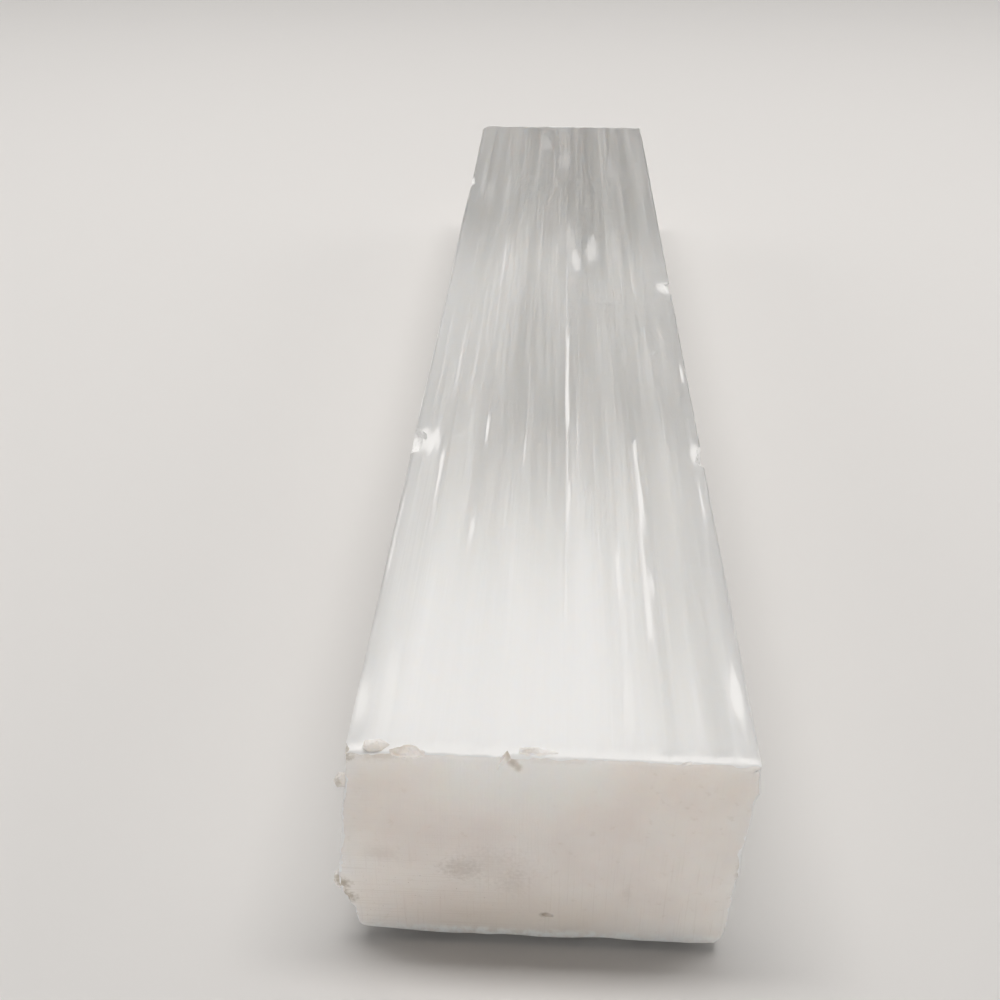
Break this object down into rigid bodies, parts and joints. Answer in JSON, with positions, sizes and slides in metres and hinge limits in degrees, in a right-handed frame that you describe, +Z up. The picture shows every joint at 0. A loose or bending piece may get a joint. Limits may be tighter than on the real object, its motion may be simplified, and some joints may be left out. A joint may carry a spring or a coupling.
{
  "type": "selenite block",
  "caption": "Long rectangular bar of fibrous white selenite with lengthwise cleavage ridges, chipped long edges and flat sawn ends, lying on its flat ground base.",
  "frame": {"origin": "middle of the base, halfway along the block's length and across its width", "axes": "+Y along the block's length and fibres, with the sawn end seen from the front at -Y; +Z up from the base; +X across the block"},
  "size_m": [0.0486, 0.25, 0.0323],
  "materials": {
    "selenite": "translucent white satin spar, silky along the fibres, with chalky sawn ends"
  },
  "bodies": {
    "root": {"selenite_block": "selenite"}
  },
  "joints": []
}
